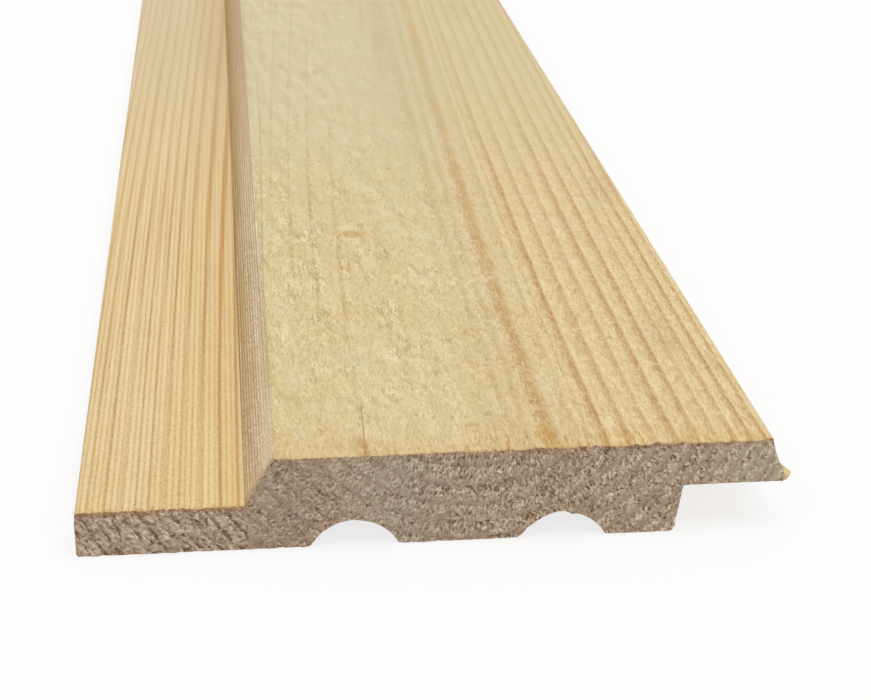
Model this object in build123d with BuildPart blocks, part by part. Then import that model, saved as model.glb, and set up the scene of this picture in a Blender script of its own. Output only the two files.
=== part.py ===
"""Channel siding board, nominal one by six inches, milled from a single length of softwood.

The board lies face up on its back. X runs across the width, with the lip at -X and the lap at +X,
Y runs along the length, and Z rises from the back to the face. The origin is on the back plane,
at the middle of the width and of the length.
"""

import os
from math import radians, tan

from build123d import *

# Stock size, in millimetres
board_length = 2438.4  # eight feet, a stock length
board_width = 136.5  # five and three eighths inches, from the lip's edge to the lap's tip
board_thickness = 19.0  # three quarters of an inch, from the back to the face

# Lip, which the next board laps over, and the sloping channel wall beside it
lip_width = 32.3
lip_thickness = 9.3
channel_wall_lean = 30.0  # degrees from upright

# Lap, which covers the lip of the board before, and the rabbet under it
lap_width = 19.7
lap_thickness = 9.1
lap_edge_lean = 15.0  # degrees from upright
rabbet_shoulder_lean = 8.5  # degrees from upright

# Round relief grooves along the back, which keep the board from cupping
relief_count = 2
relief_radius = 9.5
relief_depth = 5.4
relief_pitch = 40.3
first_relief_inset = 52.9  # from the lip's edge to the middle of the first groove

# Corner rounding left by the moulder's knives
lip_edge_radius = 0.9
channel_foot_radius = 0.6
channel_arris_radius = 1.0
rabbet_root_radius = 0.8
rabbet_heel_radius = 1.2
relief_mouth_radius = 0.6


def lean_run(rise, lean):
    """Sideways run of a wall that rises by rise and leans by lean degrees from upright."""
    return rise * tan(radians(lean))


# Places that the sizes above set, across the width and up from the back
lip_edge = -board_width / 2
lap_tip = board_width / 2
lap_underside = board_thickness - lap_thickness
channel_foot = lip_edge + lip_width
channel_arris = channel_foot + lean_run(board_thickness - lip_thickness, channel_wall_lean)
lap_arris = lap_tip - lean_run(lap_thickness, lap_edge_lean)
rabbet_root = lap_tip - lap_width
rabbet_heel = rabbet_root - lean_run(lap_underside, rabbet_shoulder_lean)
relief_middle = lip_edge + first_relief_inset + relief_pitch * (relief_count - 1) / 2


def corner_at(sketch, across, up):
    """The section's corner at a place across the width and up from the back."""
    return sketch.vertices().sort_by_distance((across, up))[0]


with BuildPart() as siding_board:
    with BuildSketch(Plane.XZ) as section:
        # Milled outline, from the lip's back edge round by the face to the rabbet's heel
        with BuildLine():
            Polyline(
                (lip_edge, 0),
                (lip_edge, lip_thickness),
                (channel_foot, lip_thickness),
                (channel_arris, board_thickness),
                (lap_arris, board_thickness),
                (lap_tip, lap_underside),
                (rabbet_root, lap_underside),
                (rabbet_heel, 0),
                close=True,
            )
        make_face()

        # Relief grooves, each cut by a round knife whose middle stays below the back
        with Locations((relief_middle, relief_depth - relief_radius)):
            with GridLocations(relief_pitch, 0, relief_count, 1):
                Circle(relief_radius, mode=Mode.SUBTRACT)

        # Eased corners, first the groove mouths, which lie on the back between its two ends
        back_corners = section.vertices().group_by(Axis.Y)[0].sort_by(Axis.X)
        fillet(back_corners[1:-1], relief_mouth_radius)
        fillet(corner_at(section, lip_edge, 0), lip_edge_radius)
        fillet(corner_at(section, lip_edge, lip_thickness), lip_edge_radius)
        fillet(corner_at(section, channel_foot, lip_thickness), channel_foot_radius)
        fillet(corner_at(section, channel_arris, board_thickness), channel_arris_radius)
        fillet(corner_at(section, rabbet_root, lap_underside), rabbet_root_radius)
        fillet(corner_at(section, rabbet_heel, 0), rabbet_heel_radius)

    extrude(amount=board_length / 2, both=True)

siding_board.part.label = "siding_board"
os.makedirs("parts", exist_ok=True)
export_step(siding_board.part, "parts/siding_board.step")
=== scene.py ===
"""Looks of the channel siding board: bare softwood with a rough sawn face, a planed lip and back,
a knife-milled channel wall and torn end grain. Lengths are in millimetres unless a name says metres."""

import math
import random

import bmesh
import bpy
from mathutils import Matrix, Vector, noise


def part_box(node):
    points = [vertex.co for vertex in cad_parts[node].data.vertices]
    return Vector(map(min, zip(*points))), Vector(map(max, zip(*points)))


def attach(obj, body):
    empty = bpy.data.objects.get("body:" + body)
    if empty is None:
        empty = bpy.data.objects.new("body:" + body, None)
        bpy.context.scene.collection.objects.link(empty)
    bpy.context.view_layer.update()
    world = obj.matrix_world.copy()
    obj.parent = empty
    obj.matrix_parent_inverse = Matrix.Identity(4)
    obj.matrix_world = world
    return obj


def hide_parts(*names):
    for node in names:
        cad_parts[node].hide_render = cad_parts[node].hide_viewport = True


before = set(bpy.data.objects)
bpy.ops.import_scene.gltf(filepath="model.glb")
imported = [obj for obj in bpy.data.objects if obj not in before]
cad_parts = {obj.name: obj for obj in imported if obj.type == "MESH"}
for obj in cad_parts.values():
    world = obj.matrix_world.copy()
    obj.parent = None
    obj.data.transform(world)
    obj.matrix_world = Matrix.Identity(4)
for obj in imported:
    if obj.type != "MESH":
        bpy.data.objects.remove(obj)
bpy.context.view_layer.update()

MM = 0.001  # metres in a millimetre
LOW, HIGH = (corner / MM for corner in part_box("siding_board"))

# Levels and edges of the milled section
FACE_LEVEL = HIGH.z
LIP_LEVEL = 9.3
LAP_LEVEL = 9.9
CHANNEL_FOOT = LOW.x + 32.3
CHANNEL_ARRIS = LOW.x + 37.9
LAP_ARRIS = HIGH.x - 2.44
RABBET_ROOT = HIGH.x - 19.7
NEAR_END, FAR_END = LOW.y, HIGH.y
GROOVES = LOW.x + 52.9, LOW.x + 93.2
GROOVE_RADIUS = 9.5
GROOVE_AXIS = -4.1
MOUTH_LEVEL = 0.6  # the grooves' mouths are rounded below it
GROOVE_MOUTH = 8.6  # half of a groove's width at the back
MOUTH_WEAR = 0.1, 0.2  # how far a torn end's fray rounds each groove's mouth
WALL_STEEPNESS, LAP_STEEPNESS = 1.732, 3.732  # rise for each millimetre across
WALL_INWARD = Vector((0.87, 0, -0.5))

# Growth rings: where the tree's middle runs, and how the rings crowd together further out
PITH_ACROSS = LOW.x + 75.75
PITH_LEVEL = 44.1
RING_START, RING_RATE, RING_CROWDING = -7.14, 0.130, 0.0018
RING_TAPER = 0.0009  # rings gained for each millimetre along the board
WANDER_REACH = 320.0  # sideways wander of the tree's middle, stronger in the inner rings
WANDER_LENGTH = 239.0
ARC_RADIUS = 50.0  # where a measure round the tree's middle is in true millimetres
STREAK_RING = -1.68  # the ring whose wide latewood shows as a streak in the face
THIN_RINGS = -2.62, -2.4, -2.15, -0.55  # weak lines beside the streak

# Fine lines that the moulder's knives left along the board
LIP_LINE_PITCH, WALL_LINE_PITCH = 1.154, 1.11
LINE_DRIFT = 0.0045  # sideways for each millimetre along
WALL_SLANT = 1.155  # length up the channel wall for each millimetre of height
WALL_BLUR = 45.0  # length of the stretch beside the near end where the wall's upper lines fade
STRIP_WIDTH = 3.0  # of the face beside the channel that the wall's knife caught, at its widest

# Marks in the face: places across and along from the near end
CHECK_ACROSS, CHECK_LENGTH = LOW.x + 55.2, 27.0
CHECK_LEAN = 0.03  # sideways for each millimetre along
PIN_MARK = LOW.x + 60.3, 288.6
TORN_CURL = LOW.x + 61.4, 128.5
BURN_MARK = LOW.x + 90.4, 7.0
SMUDGES = (LOW.x + 130.1, 162.0), (LOW.x + 122.9, 58.0), (LOW.x + 115.7, 374.0)

HOLLOW = "hollow"  # the mesh attribute that tells a finish how deep the wood is torn


def sine(amount):
    """The sine of a number or of a finish's amount."""
    return amount.math("SINE") if isinstance(amount, Amount) else math.sin(amount)


def from_pith(x, y, z):
    """How far a place lies across and above the tree's middle."""
    across, up = x - PITH_ACROSS, z - PITH_LEVEL
    wander = WANDER_REACH * (1 - sine((y - NEAR_END) / WANDER_LENGTH + math.pi / 2))
    return across - wander / (across * across + up * up) ** 0.5, up


def ring_number(radius, along):
    """Rings counted outwards, whole at the dark edge of each."""
    return RING_START + radius * (RING_RATE + RING_CROWDING * radius) + RING_TAPER * along


def check_aside(x, along):
    """How far a place lies beside the drying check, which leans a little."""
    return x - CHECK_ACROSS - along * CHECK_LEAN


def tool_lines(across, first, pitch):
    """Even fine lines that a moulder's knife leaves: -1 along each dark line, 1 midway between two."""
    return sine((across - first) * (math.tau / pitch) - math.pi / 2)


def lip_lines(x, along):
    """The knife's lines along the lip."""
    return tool_lines(x - along * LINE_DRIFT, LOW.x + 1.1, LIP_LINE_PITCH)


def wall_lines(z, along):
    """The knife's lines along the channel wall."""
    return tool_lines((z - LIP_LEVEL) * WALL_SLANT - along * LINE_DRIFT, 0.6, WALL_LINE_PITCH)


# Shader maths


class Amount:
    """A socket in a finish. Arithmetic on it adds Math nodes."""

    def __init__(self, nodes, socket):
        self.nodes, self.socket = nodes, socket

    def math(self, operation, *others):
        return self.nodes.add("ShaderNodeMath", [self, *others], operation=operation)

    def __add__(self, other):
        return self.math("ADD", other)

    def __sub__(self, other):
        return self.math("SUBTRACT", other)

    def __rsub__(self, other):
        return self.nodes.add("ShaderNodeMath", [other, self], operation="SUBTRACT")

    def __mul__(self, other):
        return self.math("MULTIPLY", other)

    def __truediv__(self, other):
        return self.math("DIVIDE", other)

    def __rtruediv__(self, other):
        return self.nodes.add("ShaderNodeMath", [other, self], operation="DIVIDE")

    def __pow__(self, other):
        return self.math("POWER", other)

    def __neg__(self):
        return self.math("MULTIPLY", -1.0)

    def __abs__(self):
        return self.math("ABSOLUTE")

    __radd__, __rmul__ = __add__, __mul__


class Nodes:
    """A node tree that is filled from Python expressions."""

    def __init__(self, tree):
        self.tree = tree
        tree.nodes.clear()

    def add(self, kind, inputs=(), output=0, stops=None, **settings):
        """Adds a node with its settings, then its sockets' values or links, and returns an output."""
        node = self.tree.nodes.new(kind)
        for name, value in settings.items():
            setattr(node, name, value)
        if stops:
            ramp = node.color_ramp
            while len(ramp.elements) < len(stops):
                ramp.elements.new(1)
            for element, (place, colour) in zip(ramp.elements, stops):
                element.position, element.color = place, colour
        pairs = inputs.items() if isinstance(inputs, dict) else enumerate(inputs)
        for socket, value in pairs:
            if isinstance(value, Amount):
                self.tree.links.new(value.socket, node.inputs[socket])
            else:
                node.inputs[socket].default_value = value
        return Amount(self, node.outputs[output]) if node.outputs else None

    def noise(self, place, size, stretch=(1, 1, 1), detail=2.0, roughness=0.5, warp=0.0):
        """Noise around a half, with features of the given size in millimetres."""
        cell = [1 / (size * s) for s in stretch]
        place = self.add("ShaderNodeVectorMath", [place, cell], operation="MULTIPLY")
        return self.add("ShaderNodeTexNoise", {"Vector": place, "Scale": 1.0, "Detail": detail,
                                               "Roughness": roughness, "Distortion": warp})

    def between(self, amount, low, high):
        """0 below low, 1 above high, and smooth between."""
        return self.add("ShaderNodeMapRange", [amount, low, high, 0.0, 1.0],
                        interpolation_type="SMOOTHSTEP")

    def thread(self, amount, middle, width):
        """1 along the thin lines where an amount passes its middle, and 0 a width away."""
        return 1 - self.between(abs(amount - middle), width * 0.2, width)

    def mix(self, factor, first, second, blend="MIX"):
        """Two colours mixed by a factor."""
        return self.add("ShaderNodeMix", {0: factor, 6: first, 7: second}, output=2,
                        data_type="RGBA", blend_type=blend)

    def ramp(self, amount, *stops):
        """A colour for an amount, from stops of a place and a tone."""
        return self.add("ShaderNodeValToRGB", [amount], stops=stops)


def tone(red, green, blue):
    """A colour as a screen shows it, 0 to 255, made linear."""
    def linear(level):
        share = level / 255
        return share / 12.92 if share <= 0.04045 else ((share + 0.055) / 1.055) ** 2.4
    return (linear(red), linear(green), linear(blue), 1.0)


class Wood(Nodes):
    """A finish on the board's wood, with its place in millimetres and its growth rings."""

    def __init__(self, name):
        self.material = bpy.data.materials.new(name)
        self.material.use_nodes = True
        super().__init__(self.material.node_tree)
        metres = self.add("ShaderNodeTexCoord", output="Object")
        self.place = self.add("ShaderNodeVectorMath", [metres, (1 / MM,) * 3], operation="MULTIPLY")
        split = self.add("ShaderNodeSeparateXYZ", [self.place]).socket.node
        self.x, self.y, self.z = (Amount(self, socket) for socket in split.outputs)
        self.along = self.y - NEAR_END
        waver = self.noise(self.place, 9.0, (1, 14, 1), 1.0) - 0.5
        across, up = from_pith(self.x + waver * 0.9, self.y, self.z)
        self.radius = (across * across + up * up) ** 0.5
        self.rings = ring_number(self.radius, self.along)
        self.arc = across.math("ARCTAN2", -up) * ARC_RADIUS

    def combine(self, x, y, z):
        return self.add("ShaderNodeCombineXYZ", [x, y, z])

    def hollow(self):
        """How deep the wood is torn here, from 0 to 1, as the mesh has it."""
        return self.add("ShaderNodeAttribute", output="Fac", attribute_name=HOLLOW)

    def latewood(self, rings, inside, outside):
        """1 at the dark edge of each ring, fading slowly inwards and quickly outwards."""
        past = (rings + 0.5).math("FRACT") - 0.5
        return self.between(past, -inside, 0.0) * (1 - self.between(past, 0.0, outside))

    def ring_strength(self, rings):
        """A strength that rises and falls from ring to ring."""
        return 0.72 + 0.26 * sine((rings + 0.5).math("FLOOR") * 1.795 + math.pi / 2)

    def relief(self, place, size, stretch, step, detail):
        """Soft bumps as light shows them: above 0 on their far sides, below 0 on their near sides."""
        ahead = self.add("ShaderNodeVectorMath", [place, step], operation="ADD")
        return self.noise(place, size, stretch, detail) - self.noise(ahead, size, stretch, detail)

    def spot(self, place, wide, long):
        """1 in the middle of an oval spot on the face, and 0 outside it."""
        across, along = place
        off = ((self.x - across) / wide) ** 2 + ((self.along - along) / long) ** 2
        return 1 - self.between(off, 0.1, 1.0)

    def finish(self, colour, roughness, height, depth):
        """Ends the tree in a rough shader, with a bump of the given depth in millimetres."""
        normal = self.add("ShaderNodeBump", {"Strength": 1.0, "Distance": depth * MM, "Height": height})
        shader = self.add("ShaderNodeBsdfPrincipled", {
            "Base Color": colour, "Roughness": roughness, "Normal": normal,
            "Specular IOR Level": 0.2})
        self.add("ShaderNodeOutputMaterial", [shader])
        return self.material


def planed_softwood():
    """The lip, the edges, the rabbet, the grooves and the back: planed, with the knife's fine lines."""
    wood = Wood("planed_softwood")
    far = wood.between(wood.along, 150, 410)
    sharp = 1 - 0.85 * wood.between(wood.along, 80, 230)
    fade = 1 - 0.25 * wood.between(wood.along, 240, 440)
    inner = wood.between(wood.x, LOW.x + 16, CHANNEL_FOOT)
    sway = wood.noise(wood.place, 2.4, (1, 3, 1), 2.0) - 0.5
    line = lip_lines(wood.x + sway * 0.3, wood.along)
    grain = wood.noise(wood.place, 0.36, (1, 2.4, 1), 2.0, 0.6) - 0.5
    bead = wood.noise(wood.place, 0.8, (1, 2.2, 1), 1.0) - 0.5
    band = wood.noise(wood.place, 1.3, (1, 60, 1), 2.0) - 0.5
    broad = wood.noise(wood.place, 6.0, (1, 9, 1), 2.0) - 0.5
    rings = wood.rings - 0.15 + 0.15 * sine(wood.rings * 1.14 - 0.14) + 0.12 * bead * sharp
    late = wood.latewood(rings, 0.42 - 0.18 * sharp, 0.22 - 0.1 * sharp)
    further = wood.between(wood.along, 30, 100)
    bold = 0.6 + 0.2 * further + inner * (0.45 + 0.35 * further)
    late = late * (0.45 + 0.5 * wood.ring_strength(rings)) * bold * fade
    groove = ((1 - line) * 0.5) ** 3 * (1 - 0.8 * wood.between(wood.along, 110, 290))
    level = (0.63 - groove * (0.2 + 0.12 * bead) + sharp * 0.5 * grain
             + (0.26 - 0.1 * sharp) * fade * band + 0.14 * broad - 0.28 * late)
    colour = wood.ramp(level, (0.22, tone(180, 142, 82)), (0.42, tone(216, 184, 127)),
                       (0.6, tone(232, 205, 154)), (0.8, tone(247, 226, 180)))
    colour = wood.mix(late * (0.3 + 0.2 * inner), colour, tone(206, 156, 88))
    colour = wood.mix(inner * (1 - far) * 0.22, colour, tone(222, 180, 112))
    colour = wood.mix(far * 0.55, colour, tone(213, 195, 162))
    # Darker towards the channel's foot far along: painted shade beside the wall
    colour = wood.mix(far * inner * 0.4, colour, tone(204, 174, 126))
    ragged = wood.along + 7.0 * wood.noise(wood.place, 1.2, detail=2.0)
    colour = wood.mix((1 - wood.between(ragged, 2.6, 5.2)) * 0.75, colour, tone(204, 152, 90))
    return wood.finish(colour, 0.55, late * 0.4 - groove * 0.5 + grain, 0.1)


def rough_sawn_softwood():
    """The face: raised fibre from the saw, torn towards the channel, with clear grain towards the lap."""
    wood = Wood("rough_sawn_softwood")
    calm = wood.between(wood.along, 60, 300)
    clear = wood.between(wood.x, PITH_ACROSS + 16, PITH_ACROSS + 27)
    right = wood.between(wood.x, PITH_ACROSS - 15, PITH_ACROSS + 10)
    torn = wood.hollow()
    fuzz = 1 - 0.93 * calm
    sway = wood.noise(wood.place, 3.0, (1, 2.6, 1), 2.0) - 0.5
    bent = wood.combine(wood.x + sway * 2.0, wood.y, wood.z)
    nap = wood.noise(bent, 0.32, (1, 9, 1), 2.0, 0.55)
    curl = wood.noise(bent, 0.7, (1, 7, 1), 2.0, 0.6)
    speck = wood.noise(bent, 0.4, (1, 2.5, 1), 2.0, 0.6)
    patch = wood.noise(wood.place, 13.0, (1, 2.5, 1), 4.0, 0.6)
    cloud = wood.noise(wood.place, 4.6, (1, 3.2, 1), 3.0)

    colour = wood.mix(wood.between(patch, 0.36, 0.64), tone(225, 203, 155), tone(221, 196, 141))
    colour = wood.mix(calm * 0.8, colour, tone(217, 203, 168))
    colour = wood.mix(calm * right * 0.2, colour, tone(204, 188, 148))
    colour = wood.mix(clear * (0.5 - 0.3 * calm), colour, tone(234, 205, 148))
    colour = wood.mix(wood.between(cloud, 0.5, 0.68) * (1 - clear) * 0.3, colour, tone(223, 212, 180))
    colour = wood.mix(wood.between(cloud, 0.46, 0.32) * 0.3, colour, tone(216, 196, 138))

    beside = 1 - wood.between(wood.x, CHANNEL_ARRIS, CHANNEL_ARRIS + 4)
    distant = wood.between(wood.along, 220, 340)
    colour = wood.mix(beside * distant * 0.5, colour, tone(204, 184, 146))

    # Growth rings: clear towards the lap, one wide streak, and weak lines beside it and at the left
    ragged = wood.rings + (nap - 0.5) * 0.25 + (curl - 0.5) * 0.2 + (speck - 0.5) * 0.2
    rings = ragged + 0.15 * sine(wood.rings * 0.83 + 0.3)
    worn = wood.between(nap + 0.5 * patch, 0.95, 0.6)
    late = wood.latewood(rings, 0.5, 0.12) * wood.ring_strength(rings) * clear * (1 - 0.74 * calm)
    colour = wood.mix(late * (0.74 + 0.26 * worn), colour, tone(184, 130, 61))
    crisp = wood.latewood(rings, 0.12, 0.06) * clear * (1 - 0.8 * calm)
    colour = wood.mix(crisp * 0.3 * worn, colour, tone(160, 116, 60))
    # A pale line just outside each ring's dark edge: painted highlight on the raised latewood
    raised = wood.latewood(rings - 0.2, 0.1, 0.1) * clear * (1 - 0.8 * calm)
    colour = wood.mix(raised * 0.3, colour, tone(250, 230, 184))
    lined = wood.between(wood.x, LOW.x + 41, LOW.x + 45) * wood.between(wood.x, LOW.x + 63, LOW.x + 58)
    lined = lined * wood.between(wood.along, 20, 90) * (1 - 0.65 * calm)
    thin = wood.latewood(ragged, 0.13, 0.08) * lined * wood.between(patch + 0.3 * nap, 0.45, 0.7)
    colour = wood.mix(thin * 0.8, colour, tone(200, 158, 90))
    past_pith = wood.between(wood.x, PITH_ACROSS + 3, PITH_ACROSS + 7)
    streak = wood.thread(ragged + sway * 0.2, STREAK_RING, 0.3) * past_pith * (1 - 0.6 * calm)
    streak = streak * (0.45 + 0.4 * wood.between(patch + nap, 0.8, 1.1))
    colour = wood.mix(streak, colour, tone(192, 146, 80))
    for ring in THIN_RINGS:
        line = wood.thread(ragged, ring, 0.09) * past_pith
        colour = wood.mix(line * (0.4 - 0.2 * calm), colour, tone(184, 144, 86))

    # Raised fibre over the rings: along the board, across it from the saw, and torn up in flakes. Its pale
    # and dark strokes are partly the fibre's own tone and partly painted highlight and painted shade
    shade, light = tone(176, 146, 92), tone(251, 235, 196)
    colour = wood.mix(wood.between(nap, 0.5, 0.74) * fuzz * (0.3 + 0.05 * clear), colour, shade)
    colour = wood.mix(wood.between(nap, 0.5, 0.3) * fuzz * (0.28 + 0.17 * clear), colour, light)
    stroke = fuzz * (0.22 + 0.36 * torn)
    colour = wood.mix(wood.thread(curl, 0.57, 0.07) * stroke, colour, shade)
    colour = wood.mix(wood.thread(curl, 0.48, 0.07) * stroke, colour, light)
    sawn = wood.noise(bent, 0.55, (3.0, 1.6, 1), 2.0)
    across = fuzz * (0.04 + 0.1 * right)
    colour = wood.mix(wood.between(sawn, 0.52, 0.7) * across, colour, shade)
    colour = wood.mix(wood.between(sawn, 0.48, 0.3) * across, colour, light)
    # Soft bumps of torn fibre: painted highlight on their far sides and painted shade on their near sides
    flake_painted_shading = wood.relief(bent, 1.2, (1, 3.4, 1), (0.45, 0.9, 0), 3.0)
    swell_painted_shading = wood.relief(bent, 3.6, (1, 4.0, 1), (1.0, 2.4, 0), 1.2)
    flake_shading_share = fuzz * (0.1 + 0.32 * torn)
    swell_shading_share = 0.1 - 0.07 * calm + 0.1 * calm * (1 - right) + 0.2 * torn * (1 - 0.5 * calm)
    colour = wood.mix(wood.between(flake_painted_shading, -0.03, -0.2) * flake_shading_share, colour, shade)
    colour = wood.mix(wood.between(flake_painted_shading, 0.03, 0.2) * flake_shading_share, colour, light)
    colour = wood.mix(wood.between(swell_painted_shading, -0.02, -0.16) * swell_shading_share, colour, shade)
    colour = wood.mix(wood.between(swell_painted_shading, 0.02, 0.16) * swell_shading_share, colour, light)

    # Beside the channel: a strip that the wall's knife caught, ruffled, with a dark line along its edge
    reach = wood.x - CHANNEL_ARRIS - STRIP_WIDTH * wood.between(wood.along, 60, 260) - sway * 0.5
    strip = (1 - wood.between(reach, 0.0, 0.5)) * (1 - distant)
    ruffle = wood.noise(bent, 0.7, (1, 3, 1), 2.0, 0.6)
    colour = wood.mix(strip * (0.6 - 0.7 * calm), colour, tone(200, 176, 138))
    # The ruffled fibre's pale and dark: partly its own tone and partly painted highlight and painted shade
    colour = wood.mix(strip * wood.between(ruffle, 0.46, 0.64) * (0.5 - 0.4 * calm), colour, light)
    colour = wood.mix(strip * wood.between(ruffle, 0.5, 0.34) * (0.4 - 0.4 * calm), colour, shade)
    rim = wood.thread(reach, 0.35, 0.4) * wood.between(wood.along, 20, 60) * (1 - distant)
    colour = wood.mix(rim * (0.15 + 0.3 * cloud), colour, tone(166, 132, 80))

    # Marks: the near end's torn edge, the check, burns, flecks, smudges, the torn curl and the pin's mark
    drawn = wood.noise(wood.place, 0.6, (1, 14, 1), 2.0) + (nap - 0.5) * 0.4
    edge = wood.between(drawn, 0.53, 0.65) * (1 - wood.between(wood.along, 1.0, 15))
    colour = wood.mix(edge * (0.3 + 0.5 * right), colour, tone(192, 136, 68))
    brink = wood.along + 4.0 * wood.noise(wood.place, 1.3, detail=2.0)
    broken = 1 - wood.between(brink, 1.6, 3.4)
    colour = wood.mix(broken * (0.25 + 0.5 * right), colour, tone(186, 146, 98))
    colour = wood.mix((1 - wood.between(wood.along, 1, 12)) * 0.2, colour, tone(218, 182, 116))
    aside = check_aside(wood.x, wood.along)
    shut = wood.between(wood.along, CHECK_LENGTH * 0.7, CHECK_LENGTH)
    # The check's dark line: painted shade inside the crack
    crack = wood.thread(aside, 0.0, 0.2) * (1 - shut)
    colour = wood.mix(crack * 0.6, colour, tone(150, 114, 64))
    foot = wood.spot((CHECK_ACROSS - 0.3, 3.0), 1.6, 9) * wood.between(curl, 0.42, 0.56)
    colour = wood.mix(foot * 0.6, colour, tone(202, 150, 82))
    burn = wood.spot(BURN_MARK, 2.5, 5.5) * wood.between(curl, 0.38, 0.54)
    colour = wood.mix(burn * 0.6, colour, tone(200, 148, 78))
    fleck = wood.noise(bent, 2.2, (1, 2, 1), 0.0)
    colour = wood.mix(wood.between(fleck, 0.78, 0.86) * fuzz * 0.3, colour, tone(168, 128, 78))
    for smudge in SMUDGES:
        stain = wood.spot(smudge, 6, 20) * wood.between(curl * 0.4 + patch * 0.6, 0.4, 0.6)
        colour = wood.mix(stain * 0.16, colour, tone(160, 144, 108))
    torn_across, torn_along = TORN_CURL
    # The torn curl: painted shadow under it and painted highlight on its far rim
    curl_painted_shadow = wood.spot(TORN_CURL, 3.8, 3.6)
    colour = wood.mix(curl_painted_shadow * (0.6 * curl + 0.15), colour, tone(200, 156, 84))
    curl_painted_highlight = wood.spot((torn_across - 0.8, torn_along + 4.5), 4.0, 2.8)
    colour = wood.mix(curl_painted_highlight * 0.5 * curl, colour, light)
    colour = wood.mix(wood.spot(PIN_MARK, 1.6, 4.5) * 0.7 * cloud, colour, tone(190, 152, 96))
    height = (curl * (0.4 + 0.6 * torn) + 0.5 * nap) * fuzz
    return wood.finish(colour, 0.8, height, 0.3)


def knife_milled_wall():
    """The channel wall: the knife's lines along it over grey wood, painted shade at its foot, and pale
    above.
    """
    wood = Wood("knife_milled_wall")
    rise = wood.between(wood.z, LIP_LEVEL + 0.2, FACE_LEVEL - 0.6)
    far = wood.between(wood.along, 8, 110)
    dim = wood.between(wood.along, 130, 360)
    sway = wood.noise(wood.place, 5.0, (1, 24, 1), 1.0) - 0.5
    line = wall_lines(wood.z + sway * 0.5, wood.along)
    band = wood.noise(wood.place, 0.9, (1, 40, 1), 2.0) - 0.5
    fuzz = wood.noise(wood.place, 0.6, (1, 2.2, 1), 3.0, 0.65) - 0.5
    sharp = wood.between(wood.along, -4, 12) - 0.6 * wood.between(wood.along, 100, 300)
    line = line * (1 - 0.8 * rise * (1 - wood.between(wood.along, 10, WALL_BLUR)))
    level = 0.52 + sharp * (0.1 * line + (1.1 + 0.3 * rise) * fuzz) + 0.45 * band
    colour = wood.ramp(level, (0.2, tone(160, 130, 88)), (0.42, tone(210, 183, 141)),
                       (0.6, tone(227, 203, 162)), (0.82, tone(252, 242, 220)))
    colour = wood.mix(wood.between(rise, 0.5, 1.0) * (0.42 - 0.12 * far), colour, tone(246, 228, 190))
    colour = wood.mix(dim * (0.75 - 0.15 * rise), colour, tone(199, 172, 128))
    # Darker towards the foot, and in stripes on its lower part away from the end: painted shade of the
    # crease at the foot
    colour = wood.mix((1 - wood.between(rise, 0.0, 0.5)) * 0.2, colour, tone(200, 164, 108))
    stripe = 0.5 - 1.2 * band
    colour = wood.mix(far * (1 - wood.between(rise, 0.0, 0.42)) * stripe, colour, tone(184, 148, 86))
    ruffled = wood.between(wood.noise(wood.place, 1.2, (1, 4, 1), 2.0), 0.58, 0.7)
    ruffled = ruffled * wood.between(rise, 0.7, 1.0) * (1 - wood.between(wood.along, 150, 300))
    colour = wood.mix(ruffled * 0.6, colour, tone(252, 244, 222))
    foot = wood.z - sway * 0.4
    shadow = 1 - wood.between(foot, LIP_LEVEL + 0.05, LIP_LEVEL + 0.45)
    colour = wood.mix(shadow * (0.42 - 0.32 * dim), colour, tone(112, 76, 26))
    crease = wood.thread(wood.z + sway * 0.3, FACE_LEVEL - 0.75, 0.4)
    crease = crease * wood.between(wood.along, 25, 80) * (1 - dim)
    colour = wood.mix(crease * 0.25, colour, tone(148, 114, 68))
    brink = wood.along + 9.0 * wood.noise(wood.place, 0.9, detail=2.0)
    colour = wood.mix((1 - wood.between(brink, 4.0, 9.5)) * 0.85, colour, tone(158, 132, 108))
    return wood.finish(colour, 0.75, line * sharp + fuzz, 0.12)


# Large soft stains on the ends: the middle across from the lip's edge, and what the colour is times
END_STAINS = (
    (41, (0.9, 0.87, 0.88, 1)),
    (60, (0.99, 1.03, 1.08, 1)),
    (93, (0.97, 0.96, 0.93, 1)),
    (133, (1.06, 1.12, 1.14, 1)),
)
STAIN_REACH = 12  # how far each stain fades out


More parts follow.
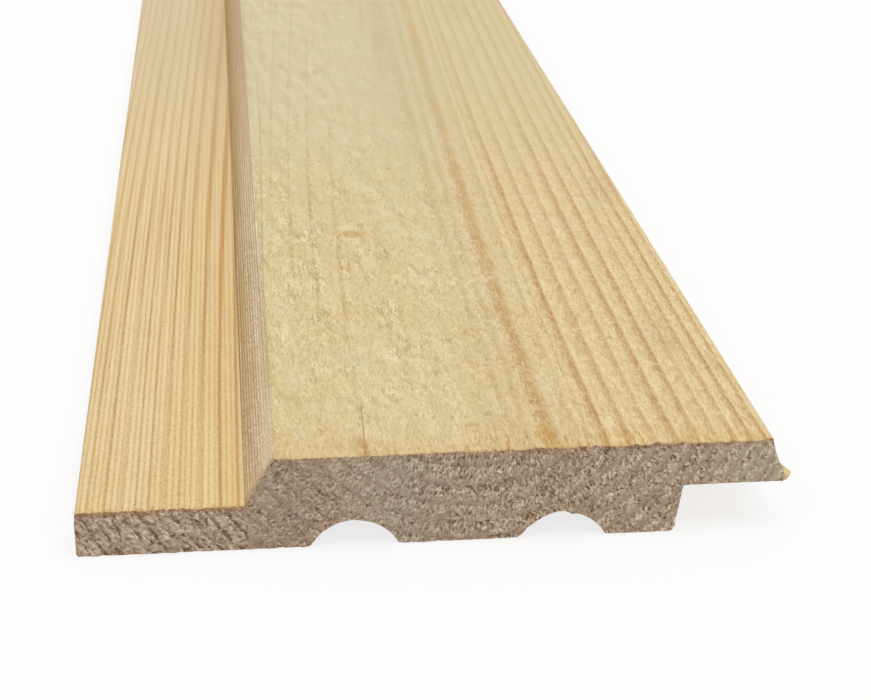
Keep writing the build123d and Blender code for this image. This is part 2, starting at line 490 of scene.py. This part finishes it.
def torn_end_grain():
    """The sawn ends: greyed, with short strands torn up between the rings."""
    wood = Wood("torn_end_grain")
    laid = wood.combine(wood.radius, wood.arc, wood.y)
    sway = wood.noise(laid, 0.9, detail=1.0) - 0.5
    drift = wood.noise(laid, 2.2, detail=1.0) - 0.5
    bent = wood.combine(wood.radius + sway * 1.2, wood.arc - sway * 1.2 + drift, wood.y)
    strand = wood.noise(bent, 0.58, (1.25, 1, 2), 2.0, 0.5) - 0.5
    clump = wood.noise(bent, 1.3, (1, 1.7, 2), 1.0) - 0.5
    ridge = wood.noise(bent, 0.66, (1, 3.0, 2), 2.0, 0.5) - 0.5
    speck = wood.noise(wood.place, 0.3, detail=2.0, roughness=0.6) - 0.5
    smear = wood.noise(laid, 3.2, (1, 2.5, 2), 3.0)
    gap = wood.noise(laid, 1.2, (1, 1.6, 2), 2.0)
    hue = wood.noise(wood.place, 2.6, detail=2.0)
    lip_side = 1 - wood.between(wood.x, CHANNEL_FOOT - 0.5, CHANNEL_FOOT + 0.5)
    coarse = wood.between(wood.x, LOW.x + 56, LOW.x + 70)
    smooth = wood.between(wood.x, LOW.x + 118, LOW.x + 130)
    beside = (1 - lip_side) * (1 - wood.between(wood.x, CHANNEL_ARRIS + 4, CHANNEL_ARRIS + 14))
    kept = wood.between(wood.noise(laid, 6.0, (0.6, 2, 2), 2.0), 0.4, 0.6)
    beyond = wood.between(wood.x, LOW.x + 92, LOW.x + 106)
    kept = kept + (1 - kept) * beyond
    dense = wood.latewood(wood.rings + sway * 0.15, 0.5, 0.08) * (0.2 + 0.8 * kept)
    line = wood.latewood(wood.rings + sway * 0.35, 0.2 + 0.14 * lip_side, 0.1)
    line = line * wood.between(gap, 0.4, 0.56)
    seam = wood.latewood(wood.rings + sway * 0.2 - 0.1, 0.08, 0.06) * wood.between(gap, 0.5, 0.62)
    loose = 1 - (0.45 + 0.2 * coarse + 0.1 * beyond) * dense
    loose = loose * (1 - 0.4 * wood.between(smear, 0.5, 0.66)) * (1 - 0.4 * smooth)
    loose = loose + (1 - loose) * 0.6 * lip_side
    stringy = strand * (1.1 + 0.5 * coarse + 0.1 * beyond + 0.28 * lip_side + 0.2 * beside)
    torn_up = (stringy + clump * (0.2 + 0.4 * coarse) + speck * 0.12) * loose
    # Darker where the end is torn deeper: painted shade in the pits
    level = (0.62 + 0.02 * lip_side + torn_up + ridge * 0.55 * lip_side - 0.3 * wood.hollow()
             - (0.15 + 0.1 * lip_side) * line + (0.12 + 0.24 * lip_side + 0.15 * beside) * seam)
    colour = wood.ramp(level, (0.2, tone(98, 72, 48)), (0.42, tone(168, 143, 119)),
                       (0.6, tone(198, 177, 153)), (0.82, tone(234, 219, 199)))
    colour = wood.mix(wood.between(hue, 0.52, 0.7) * 0.35, colour, tone(182, 146, 125))
    colour = wood.mix(wood.between(hue, 0.46, 0.3) * 0.35, colour, tone(168, 150, 108))
    colour = wood.mix(dense * (0.3 - 0.2 * lip_side + 0.12 * beyond), colour, tone(180, 162, 146))
    colour = wood.mix(line * 0.4 * lip_side, colour, tone(134, 98, 64))
    for across, stain in END_STAINS:
        share = wood.thread(wood.x, LOW.x + across, STAIN_REACH)
        colour = wood.mix(share, colour, stain, "MULTIPLY")

    # Brown fibre, burnt here and there, just under the upper arris
    top = FACE_LEVEL - (FACE_LEVEL - LIP_LEVEL) * lip_side
    under = top - wood.z + sway * 1.2 + strand * 1.0
    burnt = wood.between(wood.noise(wood.place, 1.9, detail=2.0), 0.52, 0.64)
    frayed = 0.3 + 0.7 * (lip_side + coarse)
    band = (1 - wood.between(under, 0.2, 1.1)) * frayed
    colour = wood.mix(band * (0.4 + 0.2 * lip_side), colour, tone(168, 125, 82))
    band = (1 - wood.between(under, 0.4, 2.0)) * frayed
    colour = wood.mix(band * burnt * 0.65, colour, tone(112, 78, 46))
    band = (1 - wood.between(under, 0.0, 0.6)) * frayed
    colour = wood.mix(band * (0.05 + 0.4 * burnt + 0.2 * lip_side), colour, tone(186, 140, 90))
    return wood.finish(colour, 0.9, strand + ridge * lip_side + speck * 0.5 - wood.hollow() * 0.5, 0.35)


def loose_fibre(name, pale, deep):
    """Torn fibres, each about one colour between a pale and a deep tone."""
    wood = Wood(name)
    change = wood.noise(wood.place, 1.6, detail=1.0)
    colour = wood.mix(wood.between(change, 0.35, 0.65), pale, deep)
    return wood.finish(colour, 0.8, change, 0.02)


# Board: a copy of the CAD node, cut into cells where it shows and then roughened

END_REACH = 6.0  # length of the stretch that the torn ends draw in
NEAR_REACH = 120.0  # length of the stretch with the finest relief on the face
SHOWN_REACH = 400.0  # length of the stretch with relief
FINE_CELL, PLAIN_CELL = 0.3, 0.9
CUT_SLACK_METRES = 1e-7
MERGE_METRES = 1e-6
FLAT_ANGLE, SHARP_ANGLE = 0.5, 35  # degrees: faces within one are a plane, edges past the other are sharp
NEAR_STEPS = 0.3, 0.7, 1.2, 1.9, 2.8, 4.0, 6.0  # cuts beside the near end
GROOVE, PLANED, LIP, SAWN, WALL, END = range(6)


def finish_of(face):
    """Which finish a face of the plain board takes, from where it points and how high it lies."""
    normal, middle = face.normal, face.calc_center_median() / MM
    if abs(normal.y) > 0.9:
        return END
    if normal.z > 0.8 and middle.z > FACE_LEVEL - 0.5:
        return SAWN
    if normal.x < -0.05 and normal.z > 0.05 and middle.z > LIP_LEVEL + 0.02:
        return WALL
    if normal.z > 0.98 and middle.z > LIP_LEVEL - 0.05:
        return LIP
    if normal.z < -0.2 and any(abs(from_groove(middle.x, middle.z, g)) < 0.3 for g in GROOVES):
        return GROOVE
    return PLANED


def from_groove(x, z, groove):
    """How far a place lies outside a relief groove's round."""
    return math.hypot(x - groove, z - GROOVE_AXIS) - GROOVE_RADIUS


def cut(bm, faces, axis, places):
    """Cuts the faces where X, Y or Z takes each of the rising places, and returns every piece."""
    normal = Vector((0, 0, 0))
    normal[axis] = 1
    span = [v.co[axis] / MM for face in faces for v in face.verts]
    done = []
    for place in places:
        if not min(span) < place < max(span):
            continue
        geometry = set(faces)
        for face in faces:
            geometry.update(face.verts, face.edges)
        made = bmesh.ops.bisect_plane(bm, geom=list(geometry), dist=CUT_SLACK_METRES,
                                      plane_co=normal * place * MM, plane_no=normal)
        faces = []
        for piece in made["geom"]:
            if isinstance(piece, bmesh.types.BMFace):
                beyond = max(v.co[axis] for v in piece.verts) > place * MM + CUT_SLACK_METRES
                (faces if beyond else done).append(piece)
    return done + faces


def steps(start, end, size):
    """Places from start to end, a size apart, without the two ends."""
    count = max(1, round((end - start) / size))
    return [start + (end - start) * i / count for i in range(1, count)]


def rows(*stretches):
    """Cuts along the board: close ones beside the near end, then stretches up to a place, a size apart."""
    places = list(NEAR_STEPS)
    for end, size in stretches:
        places += steps(places[-1], end, size) + [end]
    return [NEAR_END + place for place in places]


def pick(bm, finish, start, end):
    """The faces of a finish whose middle lies between two places along from the near end."""
    low, high = (NEAR_END + start) * MM, (NEAR_END + end) * MM
    return [f for f in bm.faces if f.material_index == finish and low < f.calc_center_median().y < high]


def cut_board(bm):
    """Cuts the plain board into cells: fine where it shows most, long strips elsewhere."""
    length = FAR_END - NEAR_END
    x_fine, x_plain = steps(LOW.x, HIGH.x, FINE_CELL), steps(LOW.x, HIGH.x, PLAIN_CELL)
    z_fine, z_plain = steps(0, FACE_LEVEL, FINE_CELL), steps(0, FACE_LEVEL, PLAIN_CELL)
    beside_check = [CHECK_ACROSS - 0.25, CHECK_ACROSS, CHECK_ACROSS + 0.25]
    x_face = sorted([x for x in x_fine if abs(x - CHECK_ACROSS) > 0.3] + beside_check)
    cut(bm, bm.faces[:], 1, [NEAR_END + NEAR_REACH, NEAR_END + SHOWN_REACH, FAR_END - END_REACH])

    near_face = cut(bm, pick(bm, SAWN, 0, NEAR_REACH), 0, x_face)
    far_face = cut(bm, pick(bm, SAWN, NEAR_REACH, SHOWN_REACH), 0, x_plain)
    lip = cut(bm, pick(bm, LIP, 0, SHOWN_REACH), 0, x_fine)
    wall = cut(bm, pick(bm, WALL, 0, SHOWN_REACH), 2, z_fine)
    grooves = cut(bm, pick(bm, GROOVE, 0, NEAR_REACH), 0, x_plain)
    cut(bm, pick(bm, GROOVE, NEAR_REACH, length), 0, x_plain)
    near_end = cut(bm, pick(bm, END, -1, 1), 0, x_fine)
    far_end = cut(bm, pick(bm, END, length - 1, length + 1), 0, x_plain)

    cut(bm, near_face, 1, rows((60, 1.2), (NEAR_REACH, 2.0)))
    cut(bm, far_face, 1, steps(NEAR_END + NEAR_REACH, NEAR_END + SHOWN_REACH, 5.0))
    cut(bm, lip + wall, 1, rows((SHOWN_REACH, 12)))
    cut(bm, grooves, 1, rows((30, 4)))
    cut(bm, near_end, 2, z_fine)
    cut(bm, far_end, 2, z_plain)


def rough(x, y, z, size):
    """Smooth noise from -1 to 1 with features of the given size."""
    return noise.noise(Vector((x, y, z)) / size)


def ring_at(x, y, z):
    """The ring number and the distance from the tree's middle at a place."""
    radius = math.hypot(*from_pith(x, y, z))
    return ring_number(radius, y - NEAR_END), radius


def bell(distance, width):
    """1 at no distance, falling to nothing over a few widths."""
    return math.exp(-(distance / width) ** 2)


def top_at(x):
    """The level of the milled top at a place across."""
    on_wall = LIP_LEVEL + (x - CHANNEL_FOOT) * WALL_STEEPNESS
    on_lap = FACE_LEVEL - (x - LAP_ARRIS) * LAP_STEEPNESS
    return min(max(LIP_LEVEL, on_wall), FACE_LEVEL, on_lap)


def tear_depth(x, z, seed):
    """How deep an end is torn in at a place of the section, in short pits: along the rings on the lip,
    and across them elsewhere."""
    across, up = from_pith(x, NEAR_END, z)
    ring, radius = ring_at(x, NEAR_END, z)
    arc = math.atan2(across, -up) * ARC_RADIUS
    late = bell(ring - round(ring), 0.2)
    if x < CHANNEL_FOOT:
        pits = 0.8 * rough(radius, arc / 1.8, seed, 0.7) + 0.6 * rough(radius, arc / 1.3, seed + 9, 0.4)
        pits *= 0.23
    else:
        pits = rough(radius / 1.5, arc, seed, 0.6) + 0.5 * rough(radius / 1.3, arc, seed + 9, 0.36)
        pits *= 0.15
    notch = rough(x, seed + 3, z, 0.9) + rough(x, seed + 6, z, 2.6) + 0.3 * late * (x > PITH_ACROSS)
    rag = max(0.0, notch) * math.exp(-abs(top_at(x) - z) / 0.6) * arris_wear(x)
    return 0.26 + 0.07 * late + pits * (1 - 0.4 * late) + 0.1 * rough(x, seed, z, 4.0) + rag


def arris_wear(x):
    """How far an end's upper arris is torn back: least on the face's channel side, most by the lap."""
    if CHANNEL_FOOT < x < CHANNEL_ARRIS:
        return 0.6
    if x < CHANNEL_FOOT:
        return 0.8
    return 0.3 + 0.7 * max(0.0, min(1.0, (x - PITH_ACROSS + 15) / 20))


def face_hollow(x, along):
    """Where the saw tore the face out, from 0 to 1: mostly towards the channel, past the near end."""
    patch = rough(x, along / 2.4, 31, 5.0) + 0.5 * rough(x, along / 2.2, 17, 2.0)
    share = max(0.0, min(1.0, (patch + 0.05) * 1.8))
    beside = max(0.15, min(1.0, (PITH_ACROSS + 12 - x) / 20))
    return share * beside * (0.35 + 0.65 * bell(along - 130, 85))


def face_dip(x, y, along):
    """How far the sawn face lies below its level: nap, torn hollows, soft wood between rings, the check."""
    ring, _ = ring_at(x, y, FACE_LEVEL)
    late = bell(ring - round(ring), 0.18)
    nap = 0.12 + 0.06 * rough(x * 3, y, 0, 2.6) + 0.05 * rough(x * 2, y, 5, 9.0) - 0.05 * late
    torn = 0.25 * face_hollow(x, along)
    edge = math.exp(-along / 0.7) * (0.12 + 0.3 * max(0.0, rough(x, 7, 0, 0.9)))
    check = 0.3 * bell(x - CHECK_ACROSS, 0.12) * max(0.0, 1 - along / CHECK_LENGTH)
    return nap + torn + edge + check


def groove_move(x, z, along):
    """How far a groove's surface lies from its round, inwards, where the near end tore out."""
    for groove, strength in zip(GROOVES, (0.25, 1.0)):
        if z > MOUTH_LEVEL and abs(from_groove(x, z, groove)) < 0.3:
            angle = math.degrees(math.atan2(z - GROOVE_AXIS, x - groove))
            left = 0.42 * bell(angle - 128, 26) + 0.45 * bell(angle - 78, 7) + 0.15 * bell(angle - 60, 12)
            chip = strength * (left - 0.2 * bell(angle - 90, 4) + 0.12 * rough(x, 3, z, 0.9))
            toward = Vector((groove - x, 0, GROOVE_AXIS - z)).normalized()
            return toward * (from_groove(x, z, groove) + chip * math.exp(-(along / 9) ** 2))
    return Vector((0, 0, 0))


def fray(vertex):
    """How far a torn end's outline is worn back from the planed sides, and more at the grooves' mouths."""
    x, _, z = vertex.co / MM
    wear = 0.05 + 0.3 * max(0.0, rough(x, 40, z, 1.6)) + 0.12 * max(0.0, rough(x, 44, z, 0.6))
    if z < MOUTH_LEVEL:
        for groove, strength in zip(GROOVES, MOUTH_WEAR):
            wear += strength * bell(abs(x - groove) - GROOVE_MOUTH, 0.8)
    sides = [face.normal for face in vertex.link_faces if face.material_index in (PLANED, GROOVE)]
    return -sum(sides, Vector((0, 0, 0))).normalized() * wear


def roughen_board(bm):
    """Moves the cut board's points: torn ends, a fuzzy sawn face, the knife's lines and torn grooves."""
    hollow = bm.verts.layers.float.new(HOLLOW)
    for vertex in bm.verts:
        x, y, z = vertex.co / MM
        near, far = y - NEAR_END, FAR_END - y
        finishes = {face.material_index for face in vertex.link_faces}
        shown = min(1.0, 2 * max(0.0, 1 - near / SHOWN_REACH))
        move = Vector((0, 0, 0))
        for reach, seed, inwards in (near, 0, 1), (far, 50, -1):
            if reach < END_REACH:
                depth = tear_depth(x, z, seed)
                move.y += inwards * depth * (1 - reach / END_REACH) ** 2
                vertex[hollow] = max(0.0, min(1.0, depth * 1.4)) if END in finishes else 0.0
        if END in finishes and (PLANED in finishes or GROOVE in finishes and z < MOUTH_LEVEL):
            move += fray(vertex)
        if SAWN in finishes and z > FACE_LEVEL - 0.01:
            move.z -= 0.1 + (face_dip(x, y, near) - 0.1) * shown
            leaning = max(0.0, min(near, 2 * CHECK_LENGTH - near))
            move.x += CHECK_LEAN * leaning * bell(x - CHECK_ACROSS, 1.5)
            if END not in finishes:
                vertex[hollow] = face_hollow(x, near) * shown
        elif LIP in finishes:
            ragged = max(0.0, 0.3 + rough(x, 12, 0, 0.9) + 0.5 * rough(x, 15, 0, 0.4))
            worn = 0.4 * math.exp(-near / 0.6) * ragged
            move.z -= 0.05 + worn - 0.03 * lip_lines(x, near) * shown
        elif WALL in finishes:
            rise = (z - LIP_LEVEL) / (FACE_LEVEL - LIP_LEVEL)
            blur = 0.8 * rise * max(0.0, 1 - near / WALL_BLUR)
            move += WALL_INWARD * (0.05 - 0.04 * (1 - blur) * wall_lines(z, near) * shown)
        if GROOVE in finishes:
            move += groove_move(x, z, near)
        vertex.co += move * MM


def board():
    """The whole board, standing for the CAD node."""
    bm = bmesh.new()
    bm.from_mesh(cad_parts["siding_board"].data)
    bmesh.ops.remove_doubles(bm, verts=bm.verts, dist=MERGE_METRES)
    bmesh.ops.dissolve_limit(bm, angle_limit=math.radians(FLAT_ANGLE), verts=bm.verts, edges=bm.edges)
    bm.normal_update()
    for face in bm.faces:
        face.material_index = finish_of(face)
        face.smooth = True
    for edge in bm.edges:
        edge.smooth = edge.calc_face_angle() < math.radians(SHARP_ANGLE)
    cut_board(bm)
    roughen_board(bm)
    for face in bm.faces:
        face.material_index = max(0, face.material_index - LIP)
    mesh = bpy.data.meshes.new("board")
    bm.to_mesh(mesh)
    bm.free()
    for finish in (planed_softwood, rough_sawn_softwood, knife_milled_wall, torn_end_grain):
        mesh.materials.append(finish())
    piece = bpy.data.objects.new("board", mesh)
    bpy.context.scene.collection.objects.link(piece)
    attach(piece, "root")
    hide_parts("siding_board")
    return piece


# Torn fibres, thousands of small ones joined in one mesh for each surface

FACE_FIBRES, END_FIBRES, ARRIS_FIBRES = 4600, 2200, 1500  # places tried, but on the end, fibres made
FACE_FIBRE_REACH = 260  # length of the stretch with raised fibre
FIBRE_RINGS = 3
UP, OUTWARD = Vector((0, 0, 1)), Vector((0, -1, 0))


class Fibres:
    """Tapering three-sided fibres, gathered as points and faces."""

    def __init__(self):
        self.points, self.faces = [], []

    def grow(self, root, along, up, length, thick, lift, bend):
        """Adds a fibre that starts at root, runs along, rises to lift, bends aside and ends in a point."""
        aside = along.cross(up)
        first = len(self.points)
        for i in range(FIBRE_RINGS):
            t = i / FIBRE_RINGS
            middle = root + along * (length * t) + aside * (bend * t * t) + up * (lift * t * (2 - t))
            width = thick * (1 - 0.75 * t)
            for turn in range(3):
                angle = math.tau * turn / 3
                self.points.append(middle + (aside * math.cos(angle) + up * math.sin(angle)) * width)
        self.points.append(root + along * length + aside * bend + up * lift)
        self.faces.append((first, first + 1, first + 2))
        for i in range(FIBRE_RINGS):
            low = first + 3 * i
            for turn in range(3):
                a, b = low + turn, low + (turn + 1) % 3
                last = i == FIBRE_RINGS - 1
                self.faces.append((b, a, low + 3) if last else (b, a, a + 3, b + 3))

    def piece(self, name, material):
        """The fibres as a piece that rides with the board."""
        mesh = bpy.data.meshes.new(name)
        mesh.from_pydata([p * MM for p in self.points], [], self.faces)
        mesh.materials.append(material)
        piece = bpy.data.objects.new(name, mesh)
        bpy.context.scene.collection.objects.link(piece)
        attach(piece, "root")
        return piece


def face_fibres():
    """Fibre that the saw raised on the face, thickest towards the channel."""
    chance = random.Random(11)
    fibres = Fibres()
    for _ in range(FACE_FIBRES):
        along = FACE_FIBRE_REACH * chance.random() ** 1.7
        x = chance.uniform(CHANNEL_ARRIS + 0.5, LAP_ARRIS - 0.5)
        if x > PITH_ACROSS + 8 and chance.random() < 0.6:
            continue
        lean = chance.gauss(0, 0.22)
        side = chance.choice((-1, 1)) if along > 4 else 1
        way = Vector((math.sin(lean), math.cos(lean) * side, 0))
        root = Vector((x, NEAR_END + 0.8 + along, FACE_LEVEL - 0.22))
        fibres.grow(root, way, UP, chance.uniform(0.8, 3.2), chance.uniform(0.05, 0.09),
                    chance.uniform(0.1, 0.3), chance.gauss(0, 0.3))
    fuzz = loose_fibre("face_fuzz", tone(244, 228, 188), tone(222, 194, 142))
    return fibres.piece("face_fibres", fuzz)


def in_section(x, z):
    """Whether a place across and up lies well inside the board's section."""
    if not 0.2 < z < min(top_at(x - 0.4), top_at(x + 0.4)) - 0.3:
        return False
    if x > RABBET_ROOT - 0.6 - (LAP_LEVEL - z) * 0.15:
        return z > LAP_LEVEL + 0.4
    return all(from_groove(x, z, groove) > 0.5 for groove in GROOVES)


def end_fibres():
    """Strands torn up on the near end, lying mostly across the rings."""
    chance = random.Random(23)
    fibres = Fibres()
    while len(fibres.points) < END_FIBRES * (3 * FIBRE_RINGS + 1):
        x, z = chance.uniform(LOW.x + 0.5, HIGH.x - 1), chance.uniform(0.4, FACE_LEVEL - 0.3)
        if not in_section(x, z):
            continue
        across, up = from_pith(x, NEAR_END, z)
        way = Vector((across, 0, up)).normalized() * chance.choice((-1, 1))
        way = (way + Vector((chance.gauss(0, 0.9), 0, chance.gauss(0, 0.9)))).normalized()
        length = chance.uniform(0.4, 1.1)
        if not in_section(x + way.x * length, z + way.z * length):
            continue
        root = Vector((x, NEAR_END + tear_depth(x, z, 0) + 0.06, z))
        fibres.grow(root, way, OUTWARD, length, chance.uniform(0.09, 0.15),
                    chance.uniform(0.03, 0.12), chance.gauss(0, 0.3))
    fuzz = loose_fibre("end_fuzz", tone(210, 191, 167), tone(172, 148, 122))
    return fibres.piece("end_fibres", fuzz)


def arris_fibres():
    """A fringe of torn fibre along the near end's upper arrises."""
    chance = random.Random(37)
    fibres = Fibres()
    for _ in range(ARRIS_FIBRES):
        x = chance.uniform(LOW.x + 0.4, LAP_ARRIS - 0.3)
        if x > CHANNEL_FOOT and chance.random() < 0.5:
            continue
        z = top_at(x) - 0.05 - 0.4 * chance.random()
        way = Vector((chance.gauss(0, 0.5), -0.3, chance.uniform(-1.0, 0.4))).normalized()
        root = Vector((x, NEAR_END + tear_depth(x, z, 0) + 0.2, z))
        fibres.grow(root, way, OUTWARD, chance.uniform(0.4, 1.2), chance.uniform(0.05, 0.1),
                    chance.uniform(0.05, 0.2), chance.gauss(0, 0.25))
    fuzz = loose_fibre("arris_fuzz", tone(224, 194, 150), tone(182, 146, 108))
    return fibres.piece("arris_fibres", fuzz)


# Outlines of the lap's splinter: places across from the lip's edge, and up
SPLINTER_BODY = (
    (134.4, 16.6), (135.5, 14.1), (136.0, 13.1), (136.7, 11.3), (137.0, 10.2), (136.2, 9.9), (134.5, 10.3))
SPLINTER_TIP = (136.0, 13.1), (137.1, 12.4), (138.2, 11.6), (137.7, 10.8), (137.0, 10.2), (136.7, 11.3)
SPLINTER_LENGTH = 13.0
SPLINTER_ROOT = Vector((HIGH.x - 2.2, 0, 11.5))  # where its back end draws together
SPLINTER_ROUGHNESS = 0.15


def lap_splinter(end_finish):
    """The splinter that the saw raised at the lap's tip: torn end grain, then a pale facet at its tip."""
    bm = bmesh.new()
    hollow = bm.verts.layers.float.new(HOLLOW)
    for outline in SPLINTER_BODY, SPLINTER_TIP:
        bm.faces.new([bm.verts.new((LOW.x + u, NEAR_END + 0.1, z)) for u, z in outline])
    bmesh.ops.remove_doubles(bm, verts=bm.verts, dist=0.01)
    for vertex in bm.verts:
        vertex[hollow] = 0.3
        vertex.co.y += 0.4 * max(0.0, vertex.co.x - HIGH.x - 0.3) + 0.6 * (vertex.co.x < HIGH.x - 1.5)
    bm.faces.ensure_lookup_table()
    bm.faces[1].material_index = 1
    drawn = bmesh.ops.extrude_face_region(bm, geom=bm.faces[:], use_keep_orig=True)["geom"]
    back = [v for v in drawn if isinstance(v, bmesh.types.BMVert)]
    bmesh.ops.scale(bm, verts=back, vec=(0.15, 1, 0.4),
                    space=Matrix.Translation(-SPLINTER_ROOT))
    bmesh.ops.translate(bm, verts=back, vec=(0, SPLINTER_LENGTH, 0))
    bmesh.ops.recalc_face_normals(bm, faces=bm.faces)
    for face in bm.faces:
        face.material_index = 1 if face.normal.y > -0.8 else face.material_index
    bmesh.ops.subdivide_edges(bm, edges=bm.edges[:], cuts=3, use_grid_fill=True)
    for vertex in bm.verts:
        x, y, z = vertex.co
        uneven = rough(x, y / 3, z, 1.0), rough(x, 60, z, 0.7), rough(x, y / 3, z + 9, 1.0)
        vertex.co += Vector(uneven) * SPLINTER_ROUGHNESS
    bmesh.ops.scale(bm, verts=bm.verts, vec=(MM,) * 3)
    mesh = bpy.data.meshes.new("lap_splinter")
    bm.to_mesh(mesh)
    bm.free()
    mesh.materials.append(end_finish)
    mesh.materials.append(loose_fibre("splinter_wood", tone(236, 216, 156), tone(218, 178, 112)))
    piece = bpy.data.objects.new("lap_splinter", mesh)
    bpy.context.scene.collection.objects.link(piece)
    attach(piece, "root")
    return piece


# Stage: a white floor, soft light from above and a little from the near end, and the photograph's camera

FLOOR_HALF_METRES, FLOOR_DROP_METRES = 30, 0.0001
AMBIENT = 0.6
KEY_SHARE = 0.4  # of the light on a level surface
KEY_FROM = Vector((0.15, -0.2, 0.95)).normalized()
KEY_SPREAD = 55  # degrees across
FLOOR_GLOW = 0.78  # share of plain white in the floor as the camera sees it, over its shadows
CAMERA_PLACE = Vector((LOW.x + 31.0, NEAR_END - 337.9, 180.0))
CAMERA_LOOK = Vector((0.1013, 0.9192, -0.3806)).normalized()
CAMERA_UP = Vector((0.0341, 0.3791, 0.9247))
FOCAL_PIXELS, IMAGE_WIDTH, SENSOR = 1985.3, 871, 36.0


def stage():
    """Floor, world, key light and camera."""
    bm = bmesh.new()
    bmesh.ops.create_grid(bm, x_segments=1, y_segments=1, size=FLOOR_HALF_METRES,
                          matrix=Matrix.Translation((0, 0, -FLOOR_DROP_METRES)))
    mesh = bpy.data.meshes.new("floor")
    bm.to_mesh(mesh)
    bm.free()
    floor = bpy.data.objects.new("floor", mesh)
    bpy.context.scene.collection.objects.link(floor)
    paper = bpy.data.materials.new("white_floor")
    paper.use_nodes = True
    nodes = Nodes(paper.node_tree)
    paper_shade = nodes.add("ShaderNodeBsdfDiffuse", {"Color": (0.95, 0.95, 0.95, 1)})
    glow = nodes.add("ShaderNodeEmission", {"Color": (1, 1, 1, 1), "Strength": 1.0})
    seen = nodes.add("ShaderNodeLightPath", output="Is Camera Ray")
    shader = nodes.add("ShaderNodeMixShader", [seen * FLOOR_GLOW, paper_shade, glow])
    nodes.add("ShaderNodeOutputMaterial", [shader])
    mesh.materials.append(paper)

    world = bpy.data.worlds.new("studio")
    bpy.context.scene.world = world
    world.use_nodes = True
    nodes = Nodes(world.node_tree)
    seen = nodes.add("ShaderNodeLightPath", output="Is Camera Ray")
    background = nodes.add("ShaderNodeBackground", {
        "Color": (1, 1, 1, 1), "Strength": AMBIENT + (1 - AMBIENT) * seen})
    nodes.add("ShaderNodeOutputWorld", [background])

    lamp = bpy.data.lights.new("key", "SUN")
    lamp.angle = math.radians(KEY_SPREAD)
    lamp.energy = math.pi * KEY_SHARE / KEY_FROM.z
    key = bpy.data.objects.new("key", lamp)
    key.rotation_euler = KEY_FROM.to_track_quat("Z", "Y").to_euler()
    bpy.context.scene.collection.objects.link(key)

    lens = bpy.data.cameras.new("camera")
    lens.sensor_width = SENSOR
    lens.lens = FOCAL_PIXELS / IMAGE_WIDTH * SENSOR
    lens.clip_start = 0.01
    camera = bpy.data.objects.new("camera", lens)
    right = CAMERA_LOOK.cross(CAMERA_UP).normalized()
    turn = Matrix((right, right.cross(CAMERA_LOOK), -CAMERA_LOOK)).transposed()
    camera.matrix_world = Matrix.Translation(CAMERA_PLACE * MM) @ turn.to_4x4()
    bpy.context.scene.collection.objects.link(camera)
    bpy.context.scene.camera = camera
    bpy.context.scene.view_settings.view_transform = "Standard"


siding = board()
face_fibres()
end_fibres()
arris_fibres()
lap_splinter(siding.data.materials["torn_end_grain"])
stage()
